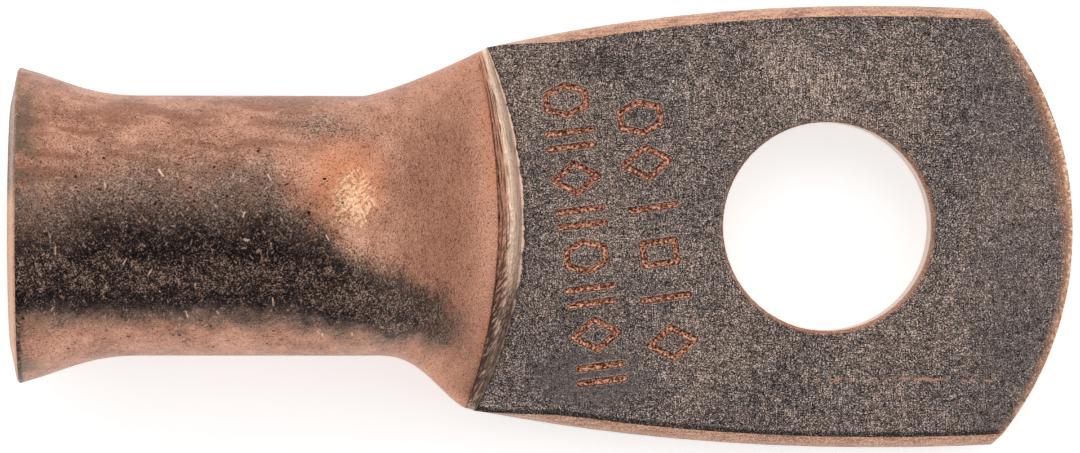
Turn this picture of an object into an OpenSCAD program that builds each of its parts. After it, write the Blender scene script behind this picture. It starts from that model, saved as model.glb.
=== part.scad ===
// Heavy-wall copper cable lug, made from one length of drawn tube.
// The mouth is flared, the tube is pressed flat into a palm, and a coining die
// leaves a curved step where the palm begins.
// Millimetres. Origin: centre of the stud hole, on the seating face of the palm.
// +X runs to the round end of the palm, +Z out of its upper face, and the
// barrel lies towards -X with its underside level with the seating face.

/* [Barrel] */
// Outside diameter of the tube
tube_d = 8.3; // [7.6:0.1:9.2]
// Wall of the tube
wall = 1.35; // [1:0.05:1.5]
// Length from the mouth to where the top starts to slope
barrel_len = 9.05; // [7:0.05:14]

/* [Mouth] */
// Outside diameter of the flared mouth
mouth_d = 10.05; // [9.4:0.1:11]
// Length of the flare
flare_len = 4.4; // [3:0.1:6]
// Wall at the lip, thinned by the flaring
lip_wall = 1.1; // [0.8:0.05:1.3]
// How far the outer edge of the lip lies behind its inner edge
lip_slant = 0.2; // [0.1:0.05:0.5]
// Rounding of the outer edge of the lip
lip_round = 0.12; // [0.05:0.01:0.3]

/* [Transition] */
// Length of the slope from the barrel down to the step
slope_len = 6.5; // [5:0.1:9]
// How far before the step the tube starts to spread, on the left side (+Y)
spread_left = 4; // [2.5:0.1:4.5]
// The same on the right side (-Y), where the die bit later and harder
spread_right = 3.2; // [2:0.1:4.5]
// Squareness of the flattened section, from 2 for round to 4 for boxy
squareness = 3.2; // [2.4:0.1:3.6]

/* [Step] */
// Height of the step above the palm, on the centreline
step_h = 0.9; // [0.5:0.05:1.6]
// Length of the step from its top crease to its foot, on the centreline
step_run = 0.8; // [0.6:0.05:1.2]
// How far the bead along the step stands above the crease behind it
bead_h = 0.12; // [0.04:0.01:0.2]
// How far the foot of the step curves back at its left end
foot_sag_left = 1.15; // [0.8:0.05:1.4]
// The same at its right end
foot_sag_right = 1.55; // [0.8:0.05:1.7]
// How far the top crease curves back at its left end
crease_sag_left = 0.7; // [0.4:0.05:0.9]
// The same at its right end
crease_sag_right = 1.05; // [0.8:0.05:1.2]

/* [Palm] */
// Thickness of the palm
palm_t = 2.2; // [1.8:0.1:2.8]
// Length of the palm, from the foot of the step to the round end
palm_len = 17.8; // [16:0.1:24]
// Greatest width of the palm
palm_w = 14.3; // [12.4:0.1:16]
// Width of the palm at the ends of the step
palm_root_w = 11.7; // [10.6:0.1:12.4]
// How far the step sits off the centreline, towards the right side
root_shift = 0.1; // [0:0.02:0.2]
// Distance from the stud hole to where the palm is widest
widest_x = 1.6; // [0:0.1:3]
// How far the rounded sides stand out beyond the flat faces
side_bulge = 0.36; // [0.2:0.02:0.6]
// Radius of the round end, seen from above
end_r = 10.55; // [8:0.05:14]
// How far the round end sits off the centreline, towards the right side
end_shift = 0.12; // [0:0.02:0.2]

/* [Palm edges] */
// Width of the rolled-over edge at the tip of the round end
roll_w = 0.42; // [0.2:0.02:0.6]
// Depth of the rolled-over edge at the tip
roll_h = 0.2; // [0.1:0.01:0.3]
// Depth of the seam between the two flattened walls, in the cut end
seam_depth = 0.06; // [0.03:0.01:0.1]

/* [Stud hole] */
// Diameter of the stud hole
hole_d = 6.75; // [5:0.05:8.4]
// Distance from the stud hole to the round end
hole_to_end = 7.95; // [6:0.1:10]
// Chamfer round both rims of the stud hole
hole_chamfer = 0.1; // [0.05:0.01:0.2]

/* [Hidden] */

facets = 84; // points round a section, a multiple of 12
slope_rings = 20;
root_rings = 5; // sections from the foot of the step to the full side bulge
palm_rings = 10; // sections over the rest of the palm
step_rings = 8; // sections over the bead of the step
flare_steps = 12;
round_fn = 96;
end_fn = 128;
copper = [0.72, 0.45, 0.34];

// How the curves run
flare_power = 1.45; // above 1, the flare opens late, near the mouth
drop_share = 0.75; // share of the slope's drop that follows an S-curve
drop_power = 1.4; // above 1, that S-curve starts gently
square_by = 0.6; // share of the slope by which the section is fully squared
left_power = 1.25; // how late the left side spreads
right_power = 1.4; // how late the right side spreads
palm_power = 2.1; // how round the palm's sides are, seen from above
bead_power = 2.4; // above 2, the bead is flatter on top and steeper at its foot

// Stations along X
x_end = hole_to_end;
x_foot = x_end - palm_len;
x_crease = x_foot - step_run;
x_slope = x_crease - slope_len;
x_mouth = x_slope - barrel_len;

// Sizes that follow from the driving ones
tube_r = tube_d / 2;
bore_r = tube_r - wall;
mouth_r = mouth_d / 2;
hole_r = hole_d / 2;
crease_z = palm_t + step_h;
root_left = palm_root_w / 2 - root_shift;
root_right = palm_root_w / 2 + root_shift;
foot_sags = [foot_sag_left, foot_sag_right];
crease_sags = [crease_sag_left, crease_sag_right];
sag_run = 3 * foot_sag_left; // length over which the curve of the step dies out
bulge_run = 2 * foot_sag_left; // length over which the side bulge grows
edge_a = 30; // angle round a section at which the flat of the palm ends
past = 1; // how far cutting tools run past what they cut
ledge = 0.01; // how far the formed end of the tube lies inside the turned end
bore_ledge = 0.04; // how far the hollow lies inside the straight bore
bore_stop = 0.3; // how far before the slope the straight bore ends

// Angles round a section, from +Y over the top
angles = [for (i = [0 : facets - 1]) i * 360 / facets];

function clamp(t) = min(1, max(0, t));
function smooth(t) = let (c = clamp(t)) c * c * (3 - 2 * c);
function mix(p, q, t) = p * (1 - t) + q * t;
function is_top(a) = a > 0 && a < 180;
function side_of(y) = y > 0 ? 0 : 1; // which of a pair of values holds: left, right

// ---- Turned end: the flare and the straight barrel ----

// Share of the full flare at a distance from the mouth
function flare(d) = smooth(pow(clamp(1 - d / flare_len), flare_power));
function outer_r(d) = tube_r + (mouth_r - tube_r) * flare(d);
function inner_r(d) = outer_r(d) - mix(wall, lip_wall, clamp(1 - d / flare_len));

// A profile of [radius, depth] points, turned about the barrel's axis
module turned(profile) {
    translate([x_mouth, 0, tube_r])
        rotate([0, 90, 0])
            rotate_extrude($fn = round_fn)
                polygon(profile);
}

module barrel() {
    lip_start = lip_slant + lip_round;
    turned(concat(
        [[0, 0]],
        [[inner_r(0), 0]],
        [for (a = [0 : 22.5 : 90])
            [mouth_r - lip_round * (1 - sin(a)), lip_start - lip_round * cos(a)]],
        [for (i = [1 : flare_steps])
            let (d = mix(lip_start, flare_len, i / flare_steps))
            [outer_r(d), d]],
        [[tube_r, barrel_len], [0, barrel_len]]
    ));
}

// The bore, wider towards the mouth
module bore() {
    mouth_slope = (inner_r(0) - inner_r(0.2)) / 0.2;
    turned(concat(
        [[0, -past]],
        [[inner_r(0) + past * mouth_slope, -past]],
        [for (i = [0 : flare_steps])
            let (d = flare_len * i / flare_steps)
            [inner_r(d), d]],
        [[bore_r, barrel_len - bore_stop], [0, barrel_len - bore_stop]]
    ));
}

// ---- Flattened tube ----

// Height of the tube at a share u of the slope
function slope_drop(u) = mix(u * u, smooth(pow(u, drop_power)), drop_share);
function tube_h(u) = mix(tube_d, crease_z, slope_drop(u));

// Distance from a share u of the slope to the foot of the step, along one side
function to_foot(u, side) =
    (1 - u) * slope_len + step_run - foot_sags[side] + crease_sags[side] * u * u;

// Half-widths of the tube at a share u of the slope, left and right. They grow until
// the foot of the step
function left_half(u) =
    mix(tube_r, root_left, pow(clamp(1 - to_foot(u, 0) / spread_left), left_power));
function right_half(u) =
    mix(tube_r, root_right, smooth(pow(clamp(1 - to_foot(u, 1) / spread_right), right_power)));
function section_power(u) = mix(2, squareness, smooth(u / square_by));

// A point of the flattened tube at angle a, inset by t from its outside
function tube_point(a, u, t = 0) =
    let (
        c = cos(a),
        s = sin(a),
        e = 2 / section_power(u),
        half_w = (c > 0 ? left_half(u) : right_half(u)) - t,
        half_h = tube_h(u) / 2 - t
    )
    [sign(c) * half_w * pow(abs(c), e), tube_h(u) / 2 + sign(s) * half_h * pow(abs(s), e)];

// ---- Palm ----

// Half-width of the palm over its bulging sides, from its half-width at an end of the step
function palm_half(x, side) =
    let (
        root_x = x_foot - foot_sags[side],
        reach = abs(widest_x - x) / (widest_x - root_x),
        root = side == 0 ? root_left : root_right
    )
    palm_w / 2 - (palm_w / 2 - root) * pow(reach, palm_power);

// A point of the palm's section at angle a: flat above and below, bulging at the sides
function palm_point(a, x, sags, bulge) =
    let (
        c = cos(a),
        side = side_of(c),
        half = palm_half(x - sags[side], side),
        lift = asin(sin(a)) / edge_a,
        flat = abs(lift) >= 1
    )
    flat
        ? [(half - bulge) * c / cos(edge_a), lift > 0 ? palm_t : 0]
        : [sign(c) * (half - bulge * lift * lift), palm_t / 2 * (1 + lift)];

// ---- Rings of the formed end, from the barrel to past the round end ----

// A ring whose upper half curves back towards its ends, left and right, and whose lower
// half runs straight between those ends
function curved_ring(x, sags, section) =
    let (
        left = max([for (p = section) p[0]]),
        right = -min([for (p = section) p[0]])
    )
    [for (i = [0 : facets - 1])
        let (
            p = section[i],
            across = p[0] > 0 ? p[0] / left : p[0] / right,
            sag = is_top(angles[i])
                ? sags[side_of(across)] * across * across
                : mix(sags[1], sags[0], (1 + across) / 2)
        )
        [x - sag, p[0], p[1]]
    ];

// The formed end starts a little inside the turned end, and just under its surface
joint_ring = [
    for (a = angles)
        let (p = tube_point(a, 0, ledge))
        [x_slope - bore_stop / 2, p[0], p[1]]
];
slope_skin = [
    for (i = [0 : slope_rings])
        let (u = i / slope_rings, inset = i == 0 ? ledge : 0)
        curved_ring(
            x_slope + u * slope_len,
            crease_sags * u * u,
            [for (a = angles) tube_point(a, u, inset)]
        )
];

// The step is a rounded bead: at a share k of its run, the share of its height that
// is left, and how far the metal stands above that
function step_left(k) = k < 1 ? sqrt(1 - pow(k, bead_power)) : 0;
function bead_rise(k) = bead_h * sin(180 * k);
step_skin = [
    for (i = [1 : step_rings])
        let (
            k = pow(i / step_rings, 0.8),
            x = x_crease + k * step_run,
            sags = mix(crease_sags, foot_sags, k)
        )
        curved_ring(
            x,
            sags,
            [for (a = angles)
                let (
                    tube = tube_point(a, 1),
                    palm = palm_point(a, x_foot, foot_sags, 0),
                    side = mix(tube, palm, k),
                    over_flat = is_top(a) && abs(cos(a)) <= cos(edge_a) + 0.001
                )
                over_flat
                    ? [side[0], palm_t + (tube[1] - palm_t) * step_left(k) + bead_rise(k)]
                    : side
            ]
        )
];

// The palm: distances of its sections past the foot of the step
palm_stations = [
    for (i = [1 : root_rings]) sag_run * pow(i / root_rings, 1.3),
    for (i = [1 : palm_rings]) mix(sag_run, palm_len + past, i / palm_rings)
];
palm_skin = [
    for (d = palm_stations)
        let (x = x_foot + d, sags = foot_sags * (1 - smooth(d / sag_run)))
        curved_ring(
            x,
            sags,
            [for (a = angles) palm_point(a, x, sags, side_bulge * smooth(d / bulge_run))]
        )
];

// ---- Solids ----

// Closed solid through a list of rings, each with the same number of points
module loft(rings) {
    n = len(rings[0]);
    last = len(rings) - 1;
    polyhedron(
        points = [for (ring = rings) each ring],
        faces = [
            [for (i = [0 : n - 1]) i],
            for (k = [0 : last - 1], i = [0 : n - 1])
                let (j = (i + 1) % n, p = k * n, q = p + n)
                each [[p + i, q + i, q + j], [p + i, q + j, p + j]],
            [for (i = [n - 1 : -1 : 0]) last * n + i],
        ],
        convexity = 6
    );
}

module formed_end() {
    loft(concat([joint_ring], slope_skin, step_skin, palm_skin));
}

// The hollow beyond the bore, where the walls close on each other
module hollow() {
    closing = 0.2; // share of the last section's height left at the end
    narrowing = 0.96; // share of its width left there
    reach = 0.4; // share of the step's run that it ends past the crease
    mid_z = crease_z / 2;
    first_ring = [
        for (a = angles)
            let (p = tube_point(a, 0, wall + bore_ledge))
            [x_slope - 2 * bore_stop, p[0], p[1]]
    ];
    tube_rings = [
        for (i = [0 : slope_rings])
            let (u = i / slope_rings, inset = wall + bore_ledge * (1 - u))
            [for (a = angles)
                let (p = tube_point(a, u, inset))
                [x_slope + u * slope_len, p[0], p[1]]]
    ];
    last_ring = [
        for (a = angles)
            let (p = tube_point(a, 1, wall))
            [x_crease + step_run * reach, p[0] * narrowing, mid_z + (p[1] - mid_z) * closing]
    ];
    loft(concat([first_ring], tube_rings, [last_ring]));
}

// ---- Cut end ----

corner_y = palm_w / 2 - side_bulge;
corner_back = end_r - sqrt(end_r * end_r - corner_y * corner_y);

// What the end cuts are taken from: everything of the palm past the corners
module end_block(margin) {
    translate([x_end - corner_back - margin, -palm_w, -margin])
        cube([corner_back + 3 * margin, 2 * palm_w, palm_t + 2 * margin]);
}

// The cut that leaves the round end, with a shallow seam where the two walls meet
module round_cut() {
    difference() {
        end_block(past);
        translate([x_end - end_r, -end_shift, palm_t / 2])
            rotate_extrude($fn = end_fn)
                polygon([
                    [0, -palm_t / 2 - 2 * past],
                    [end_r, -palm_t / 2 - 2 * past],
                    [end_r, -seam_depth],
                    [end_r - seam_depth, 0],
                    [end_r, seam_depth],
                    [end_r, palm_t / 2 + 2 * past],
                    [0, palm_t / 2 + 2 * past],
                ]);
    }
}

// The rolled-over upper edge, widest at the tip and running out at the corners
module roll_cut() {
    sag = corner_back - roll_w;
    roll_r = (corner_y * corner_y + sag * sag) / (2 * sag);
    difference() {
        end_block(0.8 * past);
        translate([x_end - roll_w - roll_r, -end_shift, 0])
            rotate_extrude($fn = end_fn)
                polygon(concat(
                    [[0, palm_t + past]],
                    [for (a = [0 : 15 : 75])
                        [roll_r + roll_w * sin(a), palm_t - roll_h * (1 - cos(a))]],
                    [[roll_r + 1.5 * roll_w, -2 * past], [0, -2 * past]]
                ));
    }
}

module stud_hole() {
    rim_r = hole_r + hole_chamfer + past;
    translate([0, 0, -past])
        cylinder(r = hole_r, h = palm_t + 2 * past, $fn = round_fn);
    translate([0, 0, -past])
        cylinder(r1 = rim_r, r2 = hole_r, h = hole_chamfer + past, $fn = round_fn);
    translate([0, 0, palm_t - hole_chamfer])
        cylinder(r1 = hole_r, r2 = rim_r, h = hole_chamfer + past, $fn = round_fn);
}

module lug() {
    color(copper)
        difference() {
            union() {
                barrel();
                formed_end();
            }
            union() {
                bore();
                hollow();
            }
            round_cut();
            roll_cut();
            stud_hole();
        }
}

lug();
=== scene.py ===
import math
import bmesh
import bpy
import numpy as np
from mathutils import Matrix, Vector


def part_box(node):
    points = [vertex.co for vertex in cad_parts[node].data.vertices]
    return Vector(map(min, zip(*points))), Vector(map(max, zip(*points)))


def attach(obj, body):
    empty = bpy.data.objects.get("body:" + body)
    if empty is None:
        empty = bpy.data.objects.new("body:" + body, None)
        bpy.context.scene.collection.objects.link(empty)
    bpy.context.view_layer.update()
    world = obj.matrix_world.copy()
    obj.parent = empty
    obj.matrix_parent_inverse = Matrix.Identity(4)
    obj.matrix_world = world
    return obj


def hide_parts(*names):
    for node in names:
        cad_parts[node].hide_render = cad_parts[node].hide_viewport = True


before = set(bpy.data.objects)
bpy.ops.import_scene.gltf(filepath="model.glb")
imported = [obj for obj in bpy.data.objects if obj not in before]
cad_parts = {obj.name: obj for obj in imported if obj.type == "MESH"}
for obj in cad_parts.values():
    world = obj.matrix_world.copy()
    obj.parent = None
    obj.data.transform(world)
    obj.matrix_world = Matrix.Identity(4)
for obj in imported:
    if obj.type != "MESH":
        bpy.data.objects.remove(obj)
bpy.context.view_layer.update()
lugLow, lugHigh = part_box("lug")
mm = 0.001

# Where the lug's forms lie, in millimetres. Lengths along it are measured from the ends
# of its box. Pairs give the left side and the right side
palm = {"thick": 2.2, "length": 17.8, "half": (5.75, 5.95), "holeRadius": 3.375}
step = {"run": 0.8, "height": 0.9, "footSag": (1.15, 1.55), "creaseSag": (0.7, 1.05)}
tube = {"radius": 4.15, "wall": 1.35, "slope": 6.5}
endArc = {"radius": 10.55, "shift": -0.12}
palm["end"] = lugHigh.x / mm
step["foot"] = palm["end"] - palm["length"]
step["crease"] = step["foot"] - step["run"]
tube["slopeStart"] = step["crease"] - tube["slope"]
tube["mouth"] = lugLow.x / mm
endArc["centre"] = palm["end"] - endArc["radius"]


def deselectAll():
    if bpy.context.object and bpy.context.object.mode != "OBJECT":
        bpy.ops.object.mode_set(mode="OBJECT")
    bpy.ops.object.select_all(action="DESELECT")


def pick(thing):
    deselectAll()
    thing.select_set(True)
    bpy.context.view_layer.objects.active = thing


def rampUp(value, low, high):
    share = np.clip((value - low) / (high - low), 0, 1)
    return share * share * (3 - 2 * share)


cameraSet = {
    "overX": -17.4, "overY": 0.5, "height": 250,  # where it hangs, in mm
    "aimX": -9.28, "aimY": -0.015, "aimZ": 2.2,
    "viewWidth": 34.77, "sensor": 36, "roll": -0.1,
}


def makeCamera():
    s = cameraSet
    place = Vector((s["overX"], s["overY"], s["height"])) * mm
    aim = Vector((s["aimX"], s["aimY"], s["aimZ"])) * mm
    look = (aim - place).normalized()
    roll = math.radians(s["roll"])
    right = look.cross(Vector((math.sin(roll), math.cos(roll), 0))).normalized()
    up = right.cross(look)
    lens = bpy.data.cameras.new("camera")
    lens.sensor_width = s["sensor"]
    lens.lens = s["sensor"] * (aim - place).length / (s["viewWidth"] * mm)
    lens.clip_start = 0.001
    camera = bpy.data.objects.new("camera", lens)
    camera.matrix_world = Matrix.Translation(place) @ Matrix((right, up, -look)).transposed().to_4x4()
    bpy.context.collection.objects.link(camera)
    bpy.context.scene.camera = camera


makeCamera()
print("camera placed")


# The skin is a copy of the lug, with a fine patch let into the palm for the struck marks
skinSet = {
    "merge": 1e-7, "levelWithin": 1e-6, "cutWithin": 1e-8,  # in metres
    "smoothAngle": 34,
    "patchLow": (-9.5, -5.6), "patchHigh": (-3.95, 4.75), "patchGap": 0.03, "patchStep": 0.034,
    "lipDeep": 0.3, "lipFacing": -0.5, "fromMouth": 5, "fromSlope": 1, "boreWithin": 0.1,
    "rolledFacing": 0.3, "rolledAbove": 0.8, "holeRim": 0.2, "endRimFrom": 4.5, "endRimSlant": 1.2,
}


def copyNode(nodeName, newName):
    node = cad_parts[nodeName]
    piece = bpy.data.objects.new(newName, node.data.copy())
    piece.data.name = newName
    piece.data.materials.clear()
    bpy.context.collection.objects.link(piece)
    pick(piece)
    bpy.ops.object.mode_set(mode="EDIT")
    bpy.ops.mesh.select_all(action="SELECT")
    bpy.ops.mesh.remove_doubles(threshold=skinSet["merge"])
    bpy.ops.object.mode_set(mode="OBJECT")
    return piece


def isLevel(face, height):
    return all(abs(v.co.z - height) < skinSet["levelWithin"] for v in face.verts)


def letInPatch(piece):
    s = skinSet
    top = palm["thick"] * mm
    lowX, lowY = (v * mm for v in s["patchLow"])
    highX, highY = (v * mm for v in s["patchHigh"])
    mesh = bmesh.new()
    mesh.from_mesh(piece.data)
    sides = (
        ((lowX, 0, 0), (1, 0, 0)), ((highX, 0, 0), (1, 0, 0)),
        ((0, lowY, 0), (0, 1, 0)), ((0, highY, 0), (0, 1, 0)),
    )
    for place, normal in sides:
        geometry = set()
        for face in mesh.faces:
            if isLevel(face, top):
                geometry.update([face], face.edges, face.verts)
        bmesh.ops.bisect_plane(
            mesh, geom=list(geometry), plane_co=place, plane_no=normal, dist=s["cutWithin"])
    inside = []
    for face in mesh.faces:
        centre = face.calc_center_median()
        if isLevel(face, top) and lowX < centre.x < highX and lowY < centre.y < highY:
            inside.append(face)
    bmesh.ops.delete(mesh, geom=inside, context="FACES")
    rim = [e for e in mesh.edges if e.is_boundary]
    gap = s["patchGap"] * mm
    countX = round((highX - lowX - 2 * gap) / (s["patchStep"] * mm))
    countY = round((highY - lowY - 2 * gap) / (s["patchStep"] * mm))
    grid = []
    columns = np.linspace(lowX + gap, highX - gap, countX + 1)
    for y in np.linspace(lowY + gap, highY - gap, countY + 1):
        grid.append([mesh.verts.new((x, y, top)) for x in columns])
    for j in range(countY):
        for i in range(countX):
            mesh.faces.new((grid[j][i], grid[j][i + 1], grid[j + 1][i + 1], grid[j + 1][i]))
    mesh.edges.index_update()
    known = set(rim)
    gridRim = [e for e in mesh.edges if e.is_boundary and e not in known]
    filled = bmesh.ops.triangle_fill(mesh, use_beauty=True, edges=rim + gridRim, normal=(0, 0, 1))
    strip = [f for f in filled["geom"] if isinstance(f, bmesh.types.BMFace)]
    bmesh.ops.recalc_face_normals(mesh, faces=strip)
    mesh.to_mesh(piece.data)
    mesh.free()


def isLip(face, centre):
    return centre.x < tube["mouth"] + skinSet["lipDeep"] and face.normal.x < skinSet["lipFacing"]


def insideFaces(mesh):
    # Spreads from one face of the bore to all that it joins, and stops at the lip
    s = skinSet
    radius = tube["radius"] - tube["wall"]
    start = None
    for face in mesh.faces:
        centre = face.calc_center_median() / mm
        fromAxis = math.hypot(centre.y, centre.z - tube["radius"])
        inBarrel = tube["mouth"] + s["fromMouth"] < centre.x < tube["slopeStart"] - s["fromSlope"]
        if inBarrel and abs(fromAxis - radius) < s["boreWithin"]:
            start = face
            break
    found = {start}
    waiting = [start]
    while waiting:
        for edge in waiting.pop().edges:
            for face in edge.link_faces:
                if face not in found and not isLip(face, face.calc_center_median() / mm):
                    found.add(face)
                    waiting.append(face)
    return found


def isRolled(face, centre):
    # The rims of the round end and of the hole, which turn down from the palm's flat face
    s = skinSet
    if face.normal.z < s["rolledFacing"] or centre.z < s["rolledAbove"] * palm["thick"]:
        return False
    atHole = math.hypot(centre.x, centre.y) < palm["holeRadius"] + s["holeRim"]
    atEnd = abs(face.normal.y) < s["endRimSlant"] * abs(face.normal.x)
    return atHole or (centre.x > s["endRimFrom"] and atEnd)


def sortFaces(piece, finishNames):
    # Each face gets its finish by where it lies, and each change of finish is a crisp edge
    s = skinSet
    slot = {name: k for k, name in enumerate(finishNames)}
    mesh = bmesh.new()
    mesh.from_mesh(piece.data)
    bore = insideFaces(mesh)
    for face in mesh.faces:
        centre = face.calc_center_median() / mm
        rootX = step["foot"] - step["footSag"][0 if centre.y > 0 else 1]
        face.smooth = True
        if face in bore:
            name = "boreCopper"
        elif isLip(face, centre):
            name = "cutCopper"
        elif isLevel(face, palm["thick"] * mm) or isRolled(face, centre):
            name = "palmPatina"
        elif isLevel(face, 0) and centre.x > step["crease"]:
            name = "palmPatina"
        elif centre.x > rootX and centre.z < palm["thick"]:
            name = "cutCopper"
        else:
            name = "tubeCopper"
        face.material_index = slot[name]
    for edge in mesh.edges:
        faces = edge.link_faces
        sharp = edge.calc_face_angle(0) > math.radians(s["smoothAngle"])
        edge.smooth = not sharp and faces[0].material_index == faces[1].material_index
    mesh.to_mesh(piece.data)
    mesh.free()


def outline(corners, turn=0.0):
    points = []
    for k in range(corners):
        angle = turn + 2 * math.pi * k / corners
        points.append((math.cos(angle), math.sin(angle)))
    return [(points[k], points[(k + 1) % corners]) for k in range(corners)]


# Plain struck marks in two slanting rows. A mark is a list of strokes in a square from -1 to 1,
# along the row and across it
markSet = {
    "rows": [
        {"from": (-8.45, 4.05), "to": (-7.3, -4.75), "half": (0.48, 0.72),
         "marks": ["hexagon", "bars", "diamond", "bars", "hexagon", "bars", "diamond", "bars"]},
        {"from": (-6.05, 3.5), "to": (-5.0, -3.75), "half": (0.5, 0.74),
         "marks": ["hexagon", "diamond", "bar", "square", "bar", "diamond"]},
    ],
    "shapes": {
        "hexagon": outline(6), "diamond": outline(4), "square": outline(4, math.pi / 4),
        "bar": [((0, -1), (0, 1))],
        "bars": [((-0.5, -1), (-0.5, 1)), ((0.5, -1), (0.5, 1))],
    },
    "strokeHalf": 0.076, "depth": 0.06, "lip": 0.014, "lipWidth": 0.09,
    # the flat floor and the painted part of a stroke's half width, and where the lip crests
    "floorShare": 0.2, "paintShare": 0.5, "lipCrest": 0.4, "lipSpread": 0.5,
}


def strokes():
    found = []
    for row in markSet["rows"]:
        start = np.array(row["from"])
        end = np.array(row["to"])
        along = (end - start) / np.linalg.norm(end - start)
        across = np.array((-along[1], along[0]))
        for k, name in enumerate(row["marks"]):
            centre = start + (end - start) * k / (len(row["marks"]) - 1)
            for a, b in markSet["shapes"][name]:
                found.append([
                    centre + along * u * row["half"][0] + across * v * row["half"][1] for u, v in (a, b)])
    return found


def strikeMarks(piece):
    s = markSet
    count = len(piece.data.vertices)
    places = np.zeros(count * 3)
    piece.data.vertices.foreach_get("co", places)
    places = places.reshape(-1, 3)
    xy = places[:, :2] / mm
    onPatch = abs(places[:, 2] - palm["thick"] * mm) < skinSet["levelWithin"]
    for axis in (0, 1):
        onPatch &= xy[:, axis] > skinSet["patchLow"][axis]
        onPatch &= xy[:, axis] < skinSet["patchHigh"][axis]
    near = np.full(count, np.inf)
    for a, b in strokes():
        span = b - a
        share = np.clip(((xy - a) @ span) / (span @ span), 0, 1)
        near = np.minimum(near, np.linalg.norm(xy - a - share[:, None] * span, axis=1))
    near[~onPatch] = np.inf
    half = s["strokeHalf"]
    groove = 1 - rampUp(near, s["floorShare"] * half, half)
    fromCrest = near - half - s["lipCrest"] * s["lipWidth"]
    lip = np.exp(-(fromCrest / (s["lipSpread"] * s["lipWidth"])) ** 2)
    lip[near < half] = 0
    places[:, 2] += (lip * s["lip"] - groove * s["depth"]) * mm
    piece.data.vertices.foreach_set("co", places.ravel())
    struck = piece.data.attributes.new("struck", "FLOAT", "POINT")
    struck.data.foreach_set("value", 1 - rampUp(near, s["paintShare"] * half, half + s["lipWidth"]))


finishNames = ["tubeCopper", "palmPatina", "cutCopper", "boreCopper"]
skin = copyNode("lug", "lugSkin")
letInPatch(skin)
sortFaces(skin, finishNames)
strikeMarks(skin)
print("skin built:", len(skin.data.polygons), "faces")


def colour(red, green, blue):
    # A colour given in plain screen values, 0 to 255
    def linear(v):
        v /= 255
        return v / 12.92 if v <= 0.04045 else ((v + 0.055) / 1.055) ** 2.4
    return (linear(red), linear(green), linear(blue), 1)


tree = None  # the node tree that is being built


def openTree(newTree):
    global tree
    tree = newTree


def addNode(kind, **settings):
    node = tree.nodes.new(kind)
    for name, value in settings.items():
        setattr(node, name, value)
    return node


def feed(value, socket):
    if isinstance(value, bpy.types.NodeSocket):
        tree.links.new(value, socket)
    elif value is not None:
        socket.default_value = value


def calc(operation, a, b=None, c=None):
    node = addNode("ShaderNodeMath", operation=operation)
    for k, value in enumerate((a, b, c)):
        feed(value, node.inputs[k])
    return node.outputs[0]


def times(*values):
    result = values[0]
    for value in values[1:]:
        result = calc("MULTIPLY", result, value)
    return result


def ramp(value, low, high, toLow=0.0, toHigh=1.0):
    node = addNode("ShaderNodeMapRange", interpolation_type="SMOOTHSTEP")
    for k, v in enumerate((value, low, high, toLow, toHigh)):
        feed(v, node.inputs[k])
    return node.outputs[0]


def blend(share, a, b):
    node = addNode("ShaderNodeMix", data_type="RGBA", clamp_factor=True)
    feed(share, node.inputs[0])
    feed(a, node.inputs[6])
    feed(b, node.inputs[7])
    return node.outputs[2]


def tones(value, *stops):
    # A colour picked along a row of stops, each a place and its colour
    node = addNode("ShaderNodeValToRGB")
    row = node.color_ramp.elements
    while len(row) < len(stops):
        row.new(1.0)
    for element, (place, tone) in zip(row, stops):
        element.position = place
        element.color = tone
    feed(value, node.inputs[0])
    return node.outputs[0]


def namedTones(value, stops, palette):
    # A row of stops whose colours go by the same names
    return tones(value, *((stops[name], palette[name]) for name in stops))


def vectorCalc(operation, a, b=None, scale=None):
    node = addNode("ShaderNodeVectorMath", operation=operation)
    feed(a, node.inputs[0])
    feed(b, node.inputs[1])
    if scale is not None:
        node.inputs["Scale"].default_value = scale
    return node.outputs["Value"] if operation in ("LENGTH", "DOT_PRODUCT") else node.outputs["Vector"]


def noise(place, perMm, detail, rough=0.55, turn=0.0):
    mapping = addNode("ShaderNodeMapping")
    feed(place, mapping.inputs["Vector"])
    mapping.inputs["Rotation"].default_value = (0, 0, turn)
    texture = addNode("ShaderNodeTexNoise")
    feed(mapping.outputs[0], texture.inputs["Vector"])
    feed(perMm, texture.inputs["Scale"])
    texture.inputs["Detail"].default_value = detail
    texture.inputs["Roughness"].default_value = rough
    return texture.outputs["Fac"]


def mask(*pairs):
    # Values multiplied together, each taken over its span: from 0 to 1, or from the span's
    # third number to its fourth
    return times(*(ramp(value, *span) for value, span in pairs))


def lay(base, tone, *masks):
    # A colour laid over another, as strongly as the masks multiplied together say
    return blend(times(*masks), base, tone)


def newGroup(name, inputs, outputs):
    kinds = {"number": "NodeSocketFloat", "vector": "NodeSocketVector", "colour": "NodeSocketColor"}
    openTree(bpy.data.node_groups.new(name, "ShaderNodeTree"))
    for label, kind in inputs.items():
        tree.interface.new_socket(name=label, in_out="INPUT", socket_type=kinds[kind])
    for label, kind in outputs.items():
        tree.interface.new_socket(name=label, in_out="OUTPUT", socket_type=kinds[kind])
    return addNode("NodeGroupInput").outputs, addNode("NodeGroupOutput").inputs


def useGroup(group, **values):
    node = addNode("ShaderNodeGroup", node_tree=group)
    for name, value in values.items():
        feed(value, node.inputs[name])
    return node.outputs


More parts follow.
